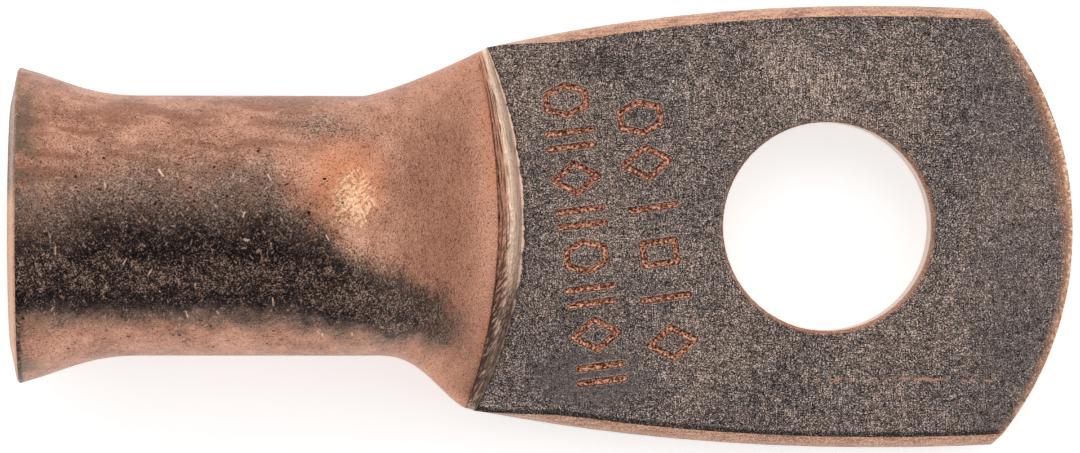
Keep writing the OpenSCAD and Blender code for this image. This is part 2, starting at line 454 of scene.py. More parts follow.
def makeLugPlace():
    # The place on the lug in millimetres, and how far across the bead of the step it lies:
    # 0 at the crease behind the bead, 1 at its foot
    end = newGroup("lugPlace", {}, {
        "Place": "vector", "X": "number", "Y": "number", "Z": "number", "Across": "number"})[1]
    where = addNode("ShaderNodeTexCoord")
    place = vectorCalc("SCALE", where.outputs["Object"], scale=1 / mm)
    split = addNode("ShaderNodeSeparateXYZ")
    feed(place, split.inputs[0])
    feed(place, end["Place"])
    x, y, z = split.outputs
    for value, axis in zip((x, y, z), "XYZ"):
        feed(value, end[axis])
    onLeft = calc("GREATER_THAN", y, 0.0)

    def bySide(left, right):
        return calc("MULTIPLY_ADD", onLeft, left - right, right)

    bow = calc("POWER", calc("DIVIDE", calc("ABSOLUTE", y), bySide(*palm["half"])), 2.0)
    crease = calc("SUBTRACT", step["crease"], times(bow, bySide(*step["creaseSag"])))
    foot = calc("SUBTRACT", step["foot"], times(bow, bySide(*step["footSag"])))
    across = calc("DIVIDE", calc("SUBTRACT", x, crease), calc("SUBTRACT", foot, crease))
    feed(across, end["Across"])
    return tree


noiseMiddle = 0.5  # what a noise comes to on average


def centred(value):
    return calc("SUBTRACT", value, noiseMiddle)


def mixLayers(layers, shares):
    # The layers that are named in shares, added up by their shares
    (first, firstShare), *others = shares.items()
    result = times(layers[first], firstShare)
    for name, share in others:
        result = calc("MULTIPLY_ADD", layers[name], share, result)
    return result


grainSet = {
    "grit": (1, 0.6), "clump": (3, 0.65, 0.7),  # detail, roughness and turn
    "clumpScale": 0.33, "clumpRelief": 1.4,
}


def makeGrain():
    # The grain of pickled metal: fine grit, leathery clumps of it, and its relief
    s = grainSet
    start, end = newGroup(
        "metalGrain", {"Place": "vector", "Fineness": "number"},
        {"Grit": "number", "Clump": "number", "Relief": "number"})
    grit = noise(start["Place"], start["Fineness"], *s["grit"])
    clump = noise(start["Place"], times(start["Fineness"], s["clumpScale"]), *s["clump"])
    feed(grit, end["Grit"])
    feed(clump, end["Clump"])
    feed(calc("MULTIPLY_ADD", clump, s["clumpRelief"], grit), end["Relief"])
    return tree


nickShape = {"edge": (1.0, 0.5), "tip": (1.0, 0.6), "lengthShare": 0.8, "shortest": 0.02}


def makeNicks():
    # Scattered nicks of uneven length: each cell may hold one thin disc, which the surface
    # cuts as a short line
    s = nickShape
    start, end = newGroup(
        "nicks",
        {"Place": "vector", "PerMm": "number", "Length": "number", "Width": "number", "Share": "number",
         "Lean": "vector"},
        {"Nick": "number"})
    cells = addNode("ShaderNodeTexVoronoi")
    feed(start["Place"], cells.inputs["Vector"])
    feed(start["PerMm"], cells.inputs["Scale"])
    local = vectorCalc("SUBTRACT", start["Place"], cells.outputs["Position"])
    facing = vectorCalc("SUBTRACT", cells.outputs["Color"], (noiseMiddle,) * 3)
    facing = vectorCalc("NORMALIZE", vectorCalc("MULTIPLY", facing, start["Lean"]))
    off = calc("ABSOLUTE", vectorCalc("DOT_PRODUCT", local, facing))
    reach = vectorCalc("LENGTH", local)
    chance = addNode("ShaderNodeTexWhiteNoise")
    feed(cells.outputs["Position"], chance.inputs["Vector"])
    held = calc("LESS_THAN", chance.outputs["Value"], start["Share"])
    thin = ramp(calc("DIVIDE", off, start["Width"]), *s["edge"])
    longest = times(start["Length"], calc("DIVIDE", chance.outputs["Value"], start["Share"]))
    longest = calc("MULTIPLY_ADD", longest, s["lengthShare"], s["shortest"])
    short = ramp(calc("DIVIDE", reach, longest), *s["tip"])
    feed(times(thin, short, held), end["Nick"])
    return tree


streakShape = {"depthShare": 0.4, "detail": 2}


def makeStreaks():
    # Fine streaks that run one way
    s = streakShape
    start, end = newGroup(
        "streaks",
        {"Place": "vector", "Turn": "number", "Length": "number", "Spacing": "number"},
        {"Streak": "number"})
    turn = addNode("ShaderNodeVectorRotate", rotation_type="Z_AXIS")
    feed(start["Place"], turn.inputs["Vector"])
    feed(start["Turn"], turn.inputs["Angle"])
    scale = addNode("ShaderNodeCombineXYZ")
    feed(calc("DIVIDE", 1.0, start["Length"]), scale.inputs[0])
    feed(calc("DIVIDE", 1.0, start["Spacing"]), scale.inputs[1])
    feed(calc("DIVIDE", s["depthShare"], start["Spacing"]), scale.inputs[2])
    place = vectorCalc("MULTIPLY", turn.outputs[0], scale.outputs[0])
    feed(noise(place, 1.0, s["detail"]), end["Streak"])
    return tree


def streak(at, turn, length, spacing):
    group = useGroup(streaks, Place=at, Turn=math.radians(turn), Length=length, Spacing=spacing)
    return group["Streak"]


# Two or four numbers are a span, which mask() explains. X, y and z are places in millimetres.
# A noise is its fineness per millimetre, detail, roughness and turn, and a streak is its turn
# in degrees, length and spacing
patinaSet = {
    "fineness": 24.0, "clumpPull": 0.36, "pitPull": 0.14, "cloudPull": 0.12, "calmPull": 0.45,
    "cloud": (0.35, 3, 0.55), "pitted": (3.2, 3, 0.6, 1.3), "fleck": (7.0, 2, 0.7, 0.5),
    "alongY": (88, 0.45, 0.04), "alongX": (1, 0.4, 0.05), "where": (0.55, 2, 0.5, 2.0),
    "whereY": (0.4, 0.62, 0.06, 0.36), "whereX": (0.6, 0.36, 0.06, 0.216),
    "warmth": (0.42, 0.58), "cloudWarmth": 0.35, "fleckWarmth": 0.65, "calmWarmth": -0.1,
    "warm": {
        "deep": colour(6, 4, 4), "dark": colour(62, 50, 44), "plain": colour(115, 98, 89),
        "full": colour(133, 115, 105), "light": colour(158, 138, 127), "glint": colour(248, 220, 203)},
    "cool": {
        "deep": colour(6, 5, 6), "dark": colour(57, 51, 50), "plain": colour(104, 94, 91),
        "full": colour(122, 110, 106), "light": colour(146, 133, 127), "glint": colour(236, 216, 206)},
    "stops": {"deep": 0.345, "dark": 0.425, "plain": 0.468, "full": 0.54, "light": 0.6, "glint": 0.69},
}


def makePatina():
    # The dull skin of the palm: warm and cool greys in a crisp grit, brushed here and there
    # and calmer and cooler where Calm is high
    s = patinaSet
    start, end = newGroup(
        "patina", {"Place": "vector", "Lift": "number", "Calm": "number"},
        {"Tone": "colour", "Grit": "number", "Relief": "number"})
    at = start["Place"]
    grain = useGroup(metalGrain, Place=at, Fineness=s["fineness"])
    cloud = noise(at, *s["cloud"])
    alongY = streak(at, *s["alongY"])
    alongX = streak(at, *s["alongX"])
    where = noise(at, *s["where"])
    pitted = noise(at, *s["pitted"])
    tone = grain["Grit"]
    for layer, share in (
        (grain["Clump"], s["clumpPull"]), (pitted, s["pitPull"]), (cloud, s["cloudPull"]),
        (alongY, ramp(where, *s["whereY"])), (alongX, ramp(where, *s["whereX"])),
    ):
        tone = calc("ADD", tone, times(centred(layer), share))
    shrink = ramp(start["Calm"], 0.0, 1.0, 1.0, 1 - s["calmPull"])
    tone = calc("MULTIPLY_ADD", centred(tone), shrink, noiseMiddle)
    tone = calc("ADD", tone, start["Lift"])
    warm = namedTones(tone, s["stops"], s["warm"])
    cool = namedTones(tone, s["stops"], s["cool"])
    fleck = noise(at, *s["fleck"])
    warmth = calc("MULTIPLY_ADD", cloud, s["cloudWarmth"], times(fleck, s["fleckWarmth"]))
    warmth = calc("MULTIPLY_ADD", start["Calm"], s["calmWarmth"], warmth)
    feed(blend(ramp(warmth, *s["warmth"]), cool, warm), end["Tone"])
    feed(grain["Grit"], end["Grit"])
    feed(grain["Relief"], end["Relief"])
    return tree


lugPlace = makeLugPlace()
metalGrain = makeGrain()
nicks = makeNicks()
streaks = makeStreaks()
patina = makePatina()
print("shader groups made")


def newMaterial(name):
    material = bpy.data.materials.new(name)
    material.use_nodes = True
    openTree(material.node_tree)
    tree.nodes.clear()
    shader = addNode("ShaderNodeBsdfPrincipled")
    output = addNode("ShaderNodeOutputMaterial")
    feed(shader.outputs[0], output.inputs[0])
    return material, shader


def dress(shader, base, rough, metal, relief, depth):
    feed(base, shader.inputs["Base Color"])
    feed(rough, shader.inputs["Roughness"])
    feed(metal, shader.inputs["Metallic"])
    bump = addNode("ShaderNodeBump")
    bump.inputs["Strength"].default_value = 1
    bump.inputs["Distance"].default_value = depth * mm
    feed(relief, bump.inputs["Height"])
    feed(bump.outputs[0], shader.inputs["Normal"])


def ovalReach(at, middle, scale, turn=0):
    # How far a place lies from the middle of an oval: 1 at its edge
    local = vectorCalc("SUBTRACT", at, middle)
    if turn:
        node = addNode("ShaderNodeVectorRotate", rotation_type="Z_AXIS")
        feed(local, node.inputs["Vector"])
        node.inputs["Angle"].default_value = math.radians(turn)
        local = node.outputs[0]
    return vectorCalc("LENGTH", vectorCalc("MULTIPLY", local, scale))


tubeSet = {
    "deep": colour(122, 84, 67), "plain": colour(168, 120, 98), "light": colour(192, 142, 118),
    "pale": colour(216, 168, 142), "orange": colour(208, 128, 92), "warm": colour(203, 149, 124),
    "rust": colour(146, 98, 76), "green": colour(106, 92, 78), "glint": colour(236, 194, 168),
    "paintedHighlight": colour(250, 212, 172), "flush": colour(216, 142, 104), "pit": colour(36, 25, 22),
    "soot": colour(26, 20, 23),
    "stops": {"deep": 0.4, "plain": 0.46, "light": 0.52, "pale": 0.6},
    "shares": {"grit": 0.24, "cloud": 0.24, "patch": 0.22, "clump": 0.18, "fibre": 0.12},
    "fineness": 19.0, "cloud": (0.5, 4, 0.6), "patch": (1.5, 4, 0.65, 0.8),
    # fibres that lie one way or the other
    "fibres": ((62, 0.26, 0.075), (-38, 0.26, 0.075)),
    "lie": (1.3, 2, 0.5, 0.3), "lieSpan": (0.42, 0.58),
    "rough": (0.3, 0.7, 0.34, 0.54), "depth": 0.016, "furrowRelief": -1.6,
    "sootMetal": (0.0, 1.0, 1.0, 0.8), "crestMetal": (0.0, 1.0, 1.0, 0.7),
}
rustSet = {
    "streaks": (2.8648, 2.2, 0.55), "streakSpan": (0.46, 0.62),
    "x": (-15.4, -17.0), "y": (0.5, 1.6), "share": 0.75,
}
slopeSet = {"x": (-14.8, -12.2), "clump": (0.36, 0.64, 0.35, 0.75)}
glowSet = {
    "across": (-0.5, -0.2), "patch": (0.36, 0.56, 0.1, 0.7), "share": 0.7,
    "upper": ((4.4, 3.4), (0.6, 1.6)), "lower": ((-4.6, -3.9), (-2.4, -3.1)), "lowerShare": 0.5,
}


def tubeGround(at, x, y, across, layers):
    # Plain copper with rusty streaks along the barrel, a warmer slope and a glow by the bead
    s = tubeSet
    base = namedTones(mixLayers(layers, s["shares"]), s["stops"], s)
    r = rustSet
    rusty = streak(at, *r["streaks"])
    base = lay(base, s["rust"], mask((rusty, r["streakSpan"]), (x, r["x"]), (y, r["y"])), r["share"])
    base = lay(base, s["warm"], mask((x, slopeSet["x"]), (layers["clump"], slopeSet["clump"])))
    g = glowSet
    upper, lower = (mask(*((y, span) for span in g[name])) for name in ("upper", "lower"))
    either = calc("MAXIMUM", upper, times(lower, g["lowerShare"]))
    glow = mask((across, g["across"]), (layers["patch"], g["patch"]))
    return lay(base, s["orange"], glow, either, g["share"])


# A painted highlight on the cheek where the slope begins: a warm flush with bright broken flecks
cheekSet = {
    "middle": (-15.35, 0.8, 0), "scale": (0.95, 0.72, 0), "reach": (1.15, 0.0), "share": 0.8,
    "flush": (-15.5, 1.4, 0), "flushScale": (0.58, 0.55, 0), "flushReach": (1.0, 0.2),
    "flushClump": (0.38, 0.58, 0.4, 0.95),
    "lift": 0.22, "clumpShare": 0.6, "fleck": (0.84, 1.08), "fleckReach": (0.0, 0.6),
}
bruiseSet = {
    "middle": (-16.4, 3.2, 0), "scale": (0.5, 1.5, 0), "turn": 6, "reach": (1.1, 0.2),
    "patchy": (0.86, 1.1, 0.1, 0.8),
}
# By the mouth: green on its left side and a dark line, both set back from the lip
mouthSet = {
    "x": (-24.8, -25.8), "patch": (0.38, 0.54), "y": (5.0, 4.0), "share": 0.8,
    "lineBack": (0.46, 0.36), "lineY": (1.4, 0.7), "lineClump": (0.6, 0.46, 0.3, 0.9),
}


def tubeWear(base, at, x, y, layers):
    s = tubeSet
    # The cheek where the slope begins carries a painted highlight: a warm flush and bright broken flecks
    c = cheekSet
    flushed = ovalReach(at, c["flush"], c["flushScale"])
    flushed = mask((flushed, c["flushReach"]), (layers["clump"], c["flushClump"]))
    base = lay(base, s["flush"], flushed)
    cheek = ramp(ovalReach(at, c["middle"], c["scale"]), *c["reach"])
    flecked = calc("ADD", layers["fibre"], times(layers["clump"], c["clumpShare"]))
    flecked = calc("MULTIPLY_ADD", cheek, c["lift"], flecked)
    base = lay(base, s["paintedHighlight"], mask((flecked, c["fleck"]), (cheek, c["fleckReach"])), c["share"])
    # A darker patch above the cheek, laid in the haze tones
    b = bruiseSet
    bruise = ovalReach(at, b["middle"], b["scale"], b["turn"])
    bruise = mask((bruise, b["reach"]), (calc("ADD", layers["fibre"], layers["patch"]), b["patchy"]))
    base = lay(base, tones(layers["grit"], *stainSet["haze"]), bruise)
    m = mouthSet
    green = mask((x, m["x"]), (layers["patch"], m["patch"]), (y, m["y"]))
    base = lay(base, s["green"], green, m["share"])
    lineX = [tube["mouth"] + back for back in m["lineBack"]]
    return lay(base, s["soot"], mask((x, lineX), (y, m["lineY"]), (layers["clump"], m["lineClump"])))


# The dark band along the barrel, partly tarnish and partly a painted reflection of the dark
# surroundings above, fans off down the slope. Top, foot and lane are heights across the barrel,
# and each falls away along the fan
stainSet = {
    # from the darkest grains to the lightest
    "haze": ((0.36, colour(34, 27, 24)), (0.44, colour(88, 72, 64)), (0.53, colour(124, 103, 92)),
             (0.65, colour(186, 158, 140))),
    "soot": ((0.43, colour(4, 3, 8)), (0.465, colour(27, 20, 23)), (0.504, colour(60, 44, 40)),
             (0.545, colour(96, 75, 65)), (0.61, colour(176, 148, 130))),
    "top": -0.2, "foot": -2.65, "lane": -1.5,
    "fanFrom": -18.0, "topFall": -0.5, "footFall": -0.17, "laneFall": -0.3,
    "mouthDrop": (-22.8, -25.4, 0.0, 0.7), "slopeMiddle": 1.4, "onTop": (0.2, 1.0),
    "wander": 1.7, "wanderNoise": (0.9, 4, 0.65), "grit": 0.75,
    "sootTop": (1.5, -0.6), "sootFoot": (-0.25, 0.25), "sootEnd": (-11.8, -13.4),
    "hazeWidth": (-18.2, -16.4, 3.6, 1.2), "hazeTop": (1.0, 0.25), "hazeFoot": (-0.8, -0.1),
    "hazePatch": (0.34, 0.56, 0.8, 1.0), "hazeEnd": (-11.0, -12.6),
    "laneHalf": (0.9, 0.2), "laneTone": (0.0, 1.0, -0.028, 0.018),
    "shares": {"grit": 0.46, "clump": 0.2, "fibre": 0.17, "patch": 0.17},
}


def tubeStain(base, at, x, y, z, layers):
    # Haze, and then the darkest part of the band, browner along a lane: both partly tarnish and partly
    # painted reflection
    s = stainSet
    wander = centred(noise(at, *s["wanderNoise"]))
    line = calc("MULTIPLY_ADD", wander, s["wander"], y)
    gritty = calc("ADD", layers["clump"], layers["grit"])
    gritty = calc("MULTIPLY_ADD", calc("SUBTRACT", gritty, 2 * noiseMiddle), s["grit"], line)
    fan = calc("MAXIMUM", calc("SUBTRACT", x, s["fanFrom"]), 0.0)
    top = calc("MULTIPLY_ADD", fan, s["topFall"], s["top"])
    top = calc("SUBTRACT", top, ramp(x, *s["mouthDrop"]))
    overTop = calc("SUBTRACT", gritty, top)
    foot = calc("MULTIPLY_ADD", fan, s["footFall"], s["foot"])
    overFoot = calc("SUBTRACT", gritty, foot)
    middleZ = ramp(x, tube["slopeStart"], step["crease"], tube["radius"], s["slopeMiddle"])
    onTop = ramp(calc("SUBTRACT", z, middleZ), *s["onTop"])
    soot = mask((overTop, s["sootTop"]), (overFoot, s["sootFoot"]))
    soot = times(soot, onTop, ramp(x, *s["sootEnd"]))
    width = ramp(x, *s["hazeWidth"])
    thin = ramp(calc("DIVIDE", overTop, width), *s["hazeTop"])
    patchy = ramp(layers["patch"], *s["hazePatch"])
    haze = times(thin, ramp(overFoot, *s["hazeFoot"]), onTop, patchy, ramp(x, *s["hazeEnd"]))
    fromLane = calc("SUBTRACT", line, calc("MULTIPLY_ADD", fan, s["laneFall"], s["lane"]))
    lane = ramp(calc("ABSOLUTE", fromLane), *s["laneHalf"])

    tone = mixLayers(layers, s["shares"])
    base = lay(base, tones(tone, *s["haze"]), haze)
    tone = calc("ADD", tone, ramp(lane, *s["laneTone"]))
    return lay(base, tones(tone, *s["soot"]), soot), haze, soot


nickSet = {
    "pock": {"PerMm": 3.6, "Length": 0.09, "Width": 0.036, "Share": 0.5, "Lean": (0.5, 1.0, 1.0)},
    "fleck": {"PerMm": 4.5, "Length": 0.13, "Width": 0.02, "Share": 0.5, "Lean": (1.0, 0.7, 0.7)},
    "nick": {"PerMm": 1.9, "Length": 0.22, "Width": 0.03, "Share": 0.42, "Lean": (1.5, 0.6, 0.35)},
    "slope": (-16.4, -14.4), "pit": (0.41, 0.32, 0.0, 0.6), "pockPatch": (0.56, 0.42, 0.3, 1.0),
    "pockSlope": (0.0, 1.0, 1.0, 0.3), "fleckSlope": (0.0, 1.0, 0.4, 0.25),
    "nickStain": (0.1, 0.5, 0.25, 1.0), "nickClump": (0.4, 0.6, 0.6, 1.0),
}


def tubeNicks(base, at, x, layers, haze, soot):
    # Pits in the grain, dark pocks, pale flecks, and bright nicks that are thickest on the dark band of
    # tarnish and painted reflection
    s = nickSet
    pock, fleck, nick = (
        useGroup(nicks, Place=at, **s[name])["Nick"] for name in ("pock", "fleck", "nick"))
    nickWhere = ramp(calc("MAXIMUM", haze, soot), *s["nickStain"])
    onSlope = ramp(x, *s["slope"])
    pit = tubeSet["pit"]
    glint = tubeSet["glint"]
    base = lay(base, pit, ramp(layers["grit"], *s["pit"]))
    base = lay(base, pit, pock, mask((onSlope, s["pockSlope"]), (layers["patch"], s["pockPatch"])))
    base = lay(base, glint, fleck, ramp(onSlope, *s["fleckSlope"]))
    return lay(base, glint, nick, nickWhere, ramp(layers["clump"], *s["nickClump"]))


beadSet = {
    # crest is the colour of a painted highlight, and line that of painted shade in the crease and at the
    # foot
    "shelf": colour(216, 162, 136), "shelfDark": colour(96, 70, 58), "crest": colour(255, 224, 200),
    "dull": colour(122, 104, 97), "line": colour(44, 32, 28),
    # dragged lines: how many across the bead, and the length of one
    "linesAcross": 14.0, "lineLength": 1.1, "lineNoise": (1.0, 2),
    "onset": (-0.03, 0.03), "scallop": (2.6, 5, 0.75), "scallopPull": 0.4, "slant": (-52, 0.35, 0.06),
    "right": (-0.6, -3.4), "shelfDrag": (0.54, 0.38, 0.0, 0.6),
    "crestFrom": (0.3, 0.56), "crestTo": (1.14, 0.96), "crestRight": (0.0, 1.0, 1.0, 0.3),
    "groove": (0.48, 0.4), "grooveShare": 0.8, "twist": (0.54, 0.44), "twistY": (1.5, -2.0, 0.15, 1.0),
    "furrowCrest": (0.3, 1.0, 1.0, 0.5), "furrowShare": 0.85,
    "glintDrag": (0.56, 0.66), "glintSlant": (0.54, 0.64), "glintShare": 0.7,
    "crease": (0.07, 0.02), "creaseY": (4.6, 3.0), "creaseShare": 0.75, "footLine": (1.06, 1.1, 0.0, 0.8),
}


def raggedAcross(at, across):
    # The share across the bead with its foot scalloped by the die
    scallop = centred(noise(at, *beadSet["scallop"]))
    return calc("MULTIPLY_ADD", scallop, beadSet["scallopPull"], across)


def beadTones(base, at, y, across):
    # The bead: a dull shelf behind a crest with a painted highlight that dies out to the right, all
    # dragged along, with painted shade lines in the crease behind it and along its foot
    s = beadSet
    along = addNode("ShaderNodeCombineXYZ")
    feed(times(across, s["linesAcross"]), along.inputs[0])
    feed(times(y, 1 / s["lineLength"]), along.inputs[1])
    drag = noise(along.outputs[0], *s["lineNoise"])
    ragged = raggedAcross(at, across)
    slant = streak(at, *s["slant"])
    toRight = ramp(y, *s["right"])
    shine = mask((ragged, s["crestFrom"]), (ragged, s["crestTo"]), (toRight, s["crestRight"]))
    tone = lay(s["shelf"], s["shelfDark"], ramp(drag, *s["shelfDrag"]))
    tone = lay(tone, s["dull"], toRight)
    tone = lay(tone, s["crest"], shine)
    groove = times(ramp(drag, *s["groove"]), s["grooveShare"])
    furrow = calc("MAXIMUM", groove, mask((slant, s["twist"]), (y, s["twistY"])))
    furrow = times(furrow, ramp(shine, *s["furrowCrest"]))
    tone = lay(tone, s["shelfDark"], furrow, s["furrowShare"])
    onCrest = times(ramp(drag, *s["glintDrag"]), shine)
    onRight = times(ramp(slant, *s["glintSlant"]), toRight)
    tone = lay(tone, tubeSet["glint"], calc("MAXIMUM", onCrest, onRight), s["glintShare"])
    # Painted shade: a dark line in the crease behind the bead and another along its foot
    crease = mask((calc("ABSOLUTE", ragged), s["crease"]), (y, s["creaseY"]))
    tone = lay(tone, s["line"], crease, s["creaseShare"])
    tone = lay(tone, s["line"], ramp(ragged, *s["footLine"]))
    onBead = ramp(across, *s["onset"])
    return lay(base, tone, onBead), times(furrow, onBead), times(shine, onBead)


def tubeCopper():
    s = tubeSet
    material, shader = newMaterial("tubeCopper")
    place = useGroup(lugPlace)
    at, x, y, z, across = (place[k] for k in ("Place", "X", "Y", "Z", "Across"))
    grain = useGroup(metalGrain, Place=at, Fineness=s["fineness"])
    cloud = noise(at, *s["cloud"])
    patch = noise(at, *s["patch"])
    fibres = [streak(at, *settings) for settings in s["fibres"]]
    lie = ramp(noise(at, *s["lie"]), *s["lieSpan"])
    fibre = calc("MULTIPLY_ADD", lie, calc("SUBTRACT", fibres[1], fibres[0]), fibres[0])
    layers = {
        "grit": grain["Grit"], "clump": grain["Clump"], "cloud": cloud, "patch": patch, "fibre": fibre}
    base = tubeGround(at, x, y, across, layers)
    base = tubeWear(base, at, x, y, layers)
    # The dark band: partly tarnish, partly a painted reflection of the dark surroundings above
    base, haze, soot = tubeStain(base, at, x, y, z, layers)
    base = tubeNicks(base, at, x, layers, haze, soot)
    base, furrow, shine = beadTones(base, at, y, across)
    rough = ramp(grain["Clump"], *s["rough"])
    relief = calc("MULTIPLY_ADD", furrow, s["furrowRelief"], grain["Relief"])
    metal = mask((soot, s["sootMetal"]), (shine, s["crestMetal"]))
    dress(shader, base, rough, metal, relief, s["depth"])
    return material


palmSet = {
    # line is the colour of painted shade along the right side and at the bead's foot
    "copper": colour(204, 150, 122), "line": colour(30, 24, 22), "broken": (1.6, 4, 0.65, 1.1),
    # patches rubbed across the palm and dark clouds on it: the middle and half size of each
    "rubs": [(-4.8, 4.4, 1.0, 0.9), (-0.5, 5.0, 1.8, 1.2), (0.3, -5.1, 1.1, 1.0)],
    "rubReach": (1.5, 0.2), "rubBroken": (0.38, 0.6, 0.2, 1.0), "rubMiddle": 0.44, "rubPull": 0.5,
    "rubbing": (91, 0.55, 0.05),  # a streak
    "clouds": [(-7.5, 5.2, 1.6, 0.6), (-8.2, -2.7, 0.5, 1.3)], "cloudReach": (1.4, 0.3, 0.0, 0.035),
    "dullY": (0.0, -4.0), "dullX": (-6.0, -4.0), "dullPull": 0.012,
    # where it is calm and cool
    "calm": ((-7.7, -4.9, 0), (0.4, 0.75, 0)), "calmReach": (1.1, 0.3), "calmX": (3.4, 5.4, 0.0, 0.5),
    "scratch": {"PerMm": 0.9, "Length": 0.35, "Width": 0.02, "Share": 0.3, "Lean": (1.0, 0.15, 0.0)},
    "scratchShare": 0.4,
    "edgeShade": (0.2, 0.1), "edgeY": (0.0, -3.0, 0.35, 1.0), "footShade": (1.26, 1.08, 0.0, 0.85),
    "shadeGrit": (0.6, 0.48, 0.6, 1.0), "spill": (1.09, 1.03), "spillY": (-3.4, -0.6, 0.3, 1.0),
    "rough": (0.35, 0.65, 0.4, 0.6), "metal": (0.0, 1.0, 0.6, 0.95), "depth": 0.014,
}
# A broken bright line along the right side
dashSet = {
    "right": 4.7, "wander": 0.5, "half": (0.06, 0.02), "from": (-0.9, 0.0), "to": (5.6, 5.2),
    "gaps": (2.4, 3, 0.7), "gapSpan": (0.47, 0.56), "share": 0.8,
}
sideSet = {"widest": 1.6, "half": 7.15, "bulge": 0.36, "bulgeRun": 3.3, "power": 2.1}


def fromSide(x, y):
    # How far a place on the palm lies in from the edge of its flat face
    s = sideSet
    root = step["foot"] - sum(step["footSag"]) / 2
    onLeft = calc("GREATER_THAN", y, 0.0)
    lessOnLeft = palm["half"][1] - palm["half"][0]
    narrow = calc("MULTIPLY_ADD", onLeft, lessOnLeft, s["half"] - palm["half"][1])
    reach = calc("ABSOLUTE", calc("SUBTRACT", x, s["widest"]))
    bow = calc("POWER", calc("DIVIDE", reach, s["widest"] - root), s["power"])
    bulge = ramp(x, root, root + s["bulgeRun"], 0.0, s["bulge"])
    edge = calc("SUBTRACT", calc("SUBTRACT", s["half"], times(bow, narrow)), bulge)
    return calc("SUBTRACT", edge, calc("ABSOLUTE", y))


def patchesReach(at, patches):
    # The same as ovalReach, for each patch in a list of middles and half sizes
    return [
        ovalReach(at, (middleX, middleY, 0), (1 / halfX, 1 / halfY, 0))
        for middleX, middleY, halfX, halfY in patches]


def palmGround(at, x, y):
    # The patina, rubbed, clouded and calmed, with a few scratches and the broken line
    s = palmSet
    rubbing = streak(at, *s["rubbing"])
    broken = noise(at, *s["broken"])
    rubbed = 0.0
    for reach in patchesReach(at, s["rubs"]):
        rubbed = calc("MAXIMUM", rubbed, ramp(reach, *s["rubReach"]))
    rubbed = times(rubbed, ramp(broken, *s["rubBroken"]))
    lift = times(rubbed, calc("SUBTRACT", rubbing, s["rubMiddle"]), s["rubPull"])
    dull = mask((y, s["dullY"]), (x, s["dullX"]))
    lift = calc("SUBTRACT", lift, times(dull, s["dullPull"]))
    for reach in patchesReach(at, s["clouds"]):
        lift = calc("SUBTRACT", lift, ramp(reach, *s["cloudReach"]))
    calmer = ramp(ovalReach(at, *s["calm"]), *s["calmReach"])
    calmer = calc("MAXIMUM", calmer, ramp(x, *s["calmX"]))
    skinTone = useGroup(patina, Place=at, Lift=lift, Calm=calmer)
    scratch = useGroup(nicks, Place=at, **s["scratch"])["Nick"]
    base = lay(skinTone["Tone"], s["copper"], scratch, s["scratchShare"])
    d = dashSet
    off = calc("MULTIPLY_ADD", broken, d["wander"], calc("ADD", y, d["right"]))
    gaps = noise(at, *d["gaps"])
    dashes = mask((calc("ABSOLUTE", off), d["half"]), (x, d["from"]), (x, d["to"]), (gaps, d["gapSpan"]))
    return lay(base, s["copper"], dashes, d["share"]), skinTone


rimSet = {
    "copperDark": colour(128, 92, 74), "gold": colour(252, 216, 184), "darkGrit": (0.52, 0.38, 0.0, 0.8),
    "breaks": (3.5, 3, 0.7), "breakShare": 0.9, "breakMiddle": 0.95,
    # the rim of the round end, in millimetres in from it
    "endWideY": (-2.5, 1.5, 0.3, 0.55), "endWideX": (5.0, 7.0, 0.35, 1.0), "endBreak": 0.7,
    "endSpan": (1.15, 0.1), "endX": (4.4, 5.4),
    # the rim of the hole, in millimetres out from it
    "holeSpan": (0.14, 0.056), "holeBreak": 0.15, "holeFacing": (0.6, -0.8, 0.0),
    "facingSpan": (-0.5, 0.3, 0.3, 1.0), "grit": (0.36, 0.5, 0.7, 1.0),
    "goldNoise": (8.0, 3, 0.7), "goldSpan": (0.46, 0.6),
    "goldWide": (0.24, 0.1), "goldY": (-5.5, 0.5, 0.5, 1.0),
}


def rimTones(base, at, x, y, grit):
    # The rim of the round end is rubbed bright, and so is part of the hole's rim
    s = rimSet
    outward = vectorCalc("SUBTRACT", at, (endArc["centre"], endArc["shift"], palm["thick"]))
    inward = calc("SUBTRACT", endArc["radius"], vectorCalc("LENGTH", outward))
    width = mask((y, s["endWideY"]), (x, s["endWideX"]))
    broken = calc("MULTIPLY_ADD", noise(at, *s["breaks"]), s["breakShare"], grit)
    broken = calc("SUBTRACT", broken, s["breakMiddle"])
    brokenInward = calc("MULTIPLY_ADD", broken, s["endBreak"], inward)
    rubbed = mask((calc("DIVIDE", brokenInward, width), s["endSpan"]), (x, s["endX"]))
    flat = vectorCalc("MULTIPLY", at, (1, 1, 0))
    fromHole = calc("SUBTRACT", vectorCalc("LENGTH", flat), palm["holeRadius"])
    facing = vectorCalc("DOT_PRODUCT", vectorCalc("NORMALIZE", flat), s["holeFacing"])
    fromHole = calc("MULTIPLY_ADD", broken, s["holeBreak"], fromHole)
    rim = mask((fromHole, s["holeSpan"]), (facing, s["facingSpan"]))
    worn = times(calc("MAXIMUM", rubbed, rim), ramp(grit, *s["grit"]))
    golden = noise(at, *s["goldNoise"])
    golden = mask((inward, s["goldWide"]), (y, s["goldY"]), (golden, s["goldSpan"]))
    tone = lay(palmSet["copper"], s["copperDark"], ramp(grit, *s["darkGrit"]))
    return lay(base, lay(tone, s["gold"], golden), worn), worn


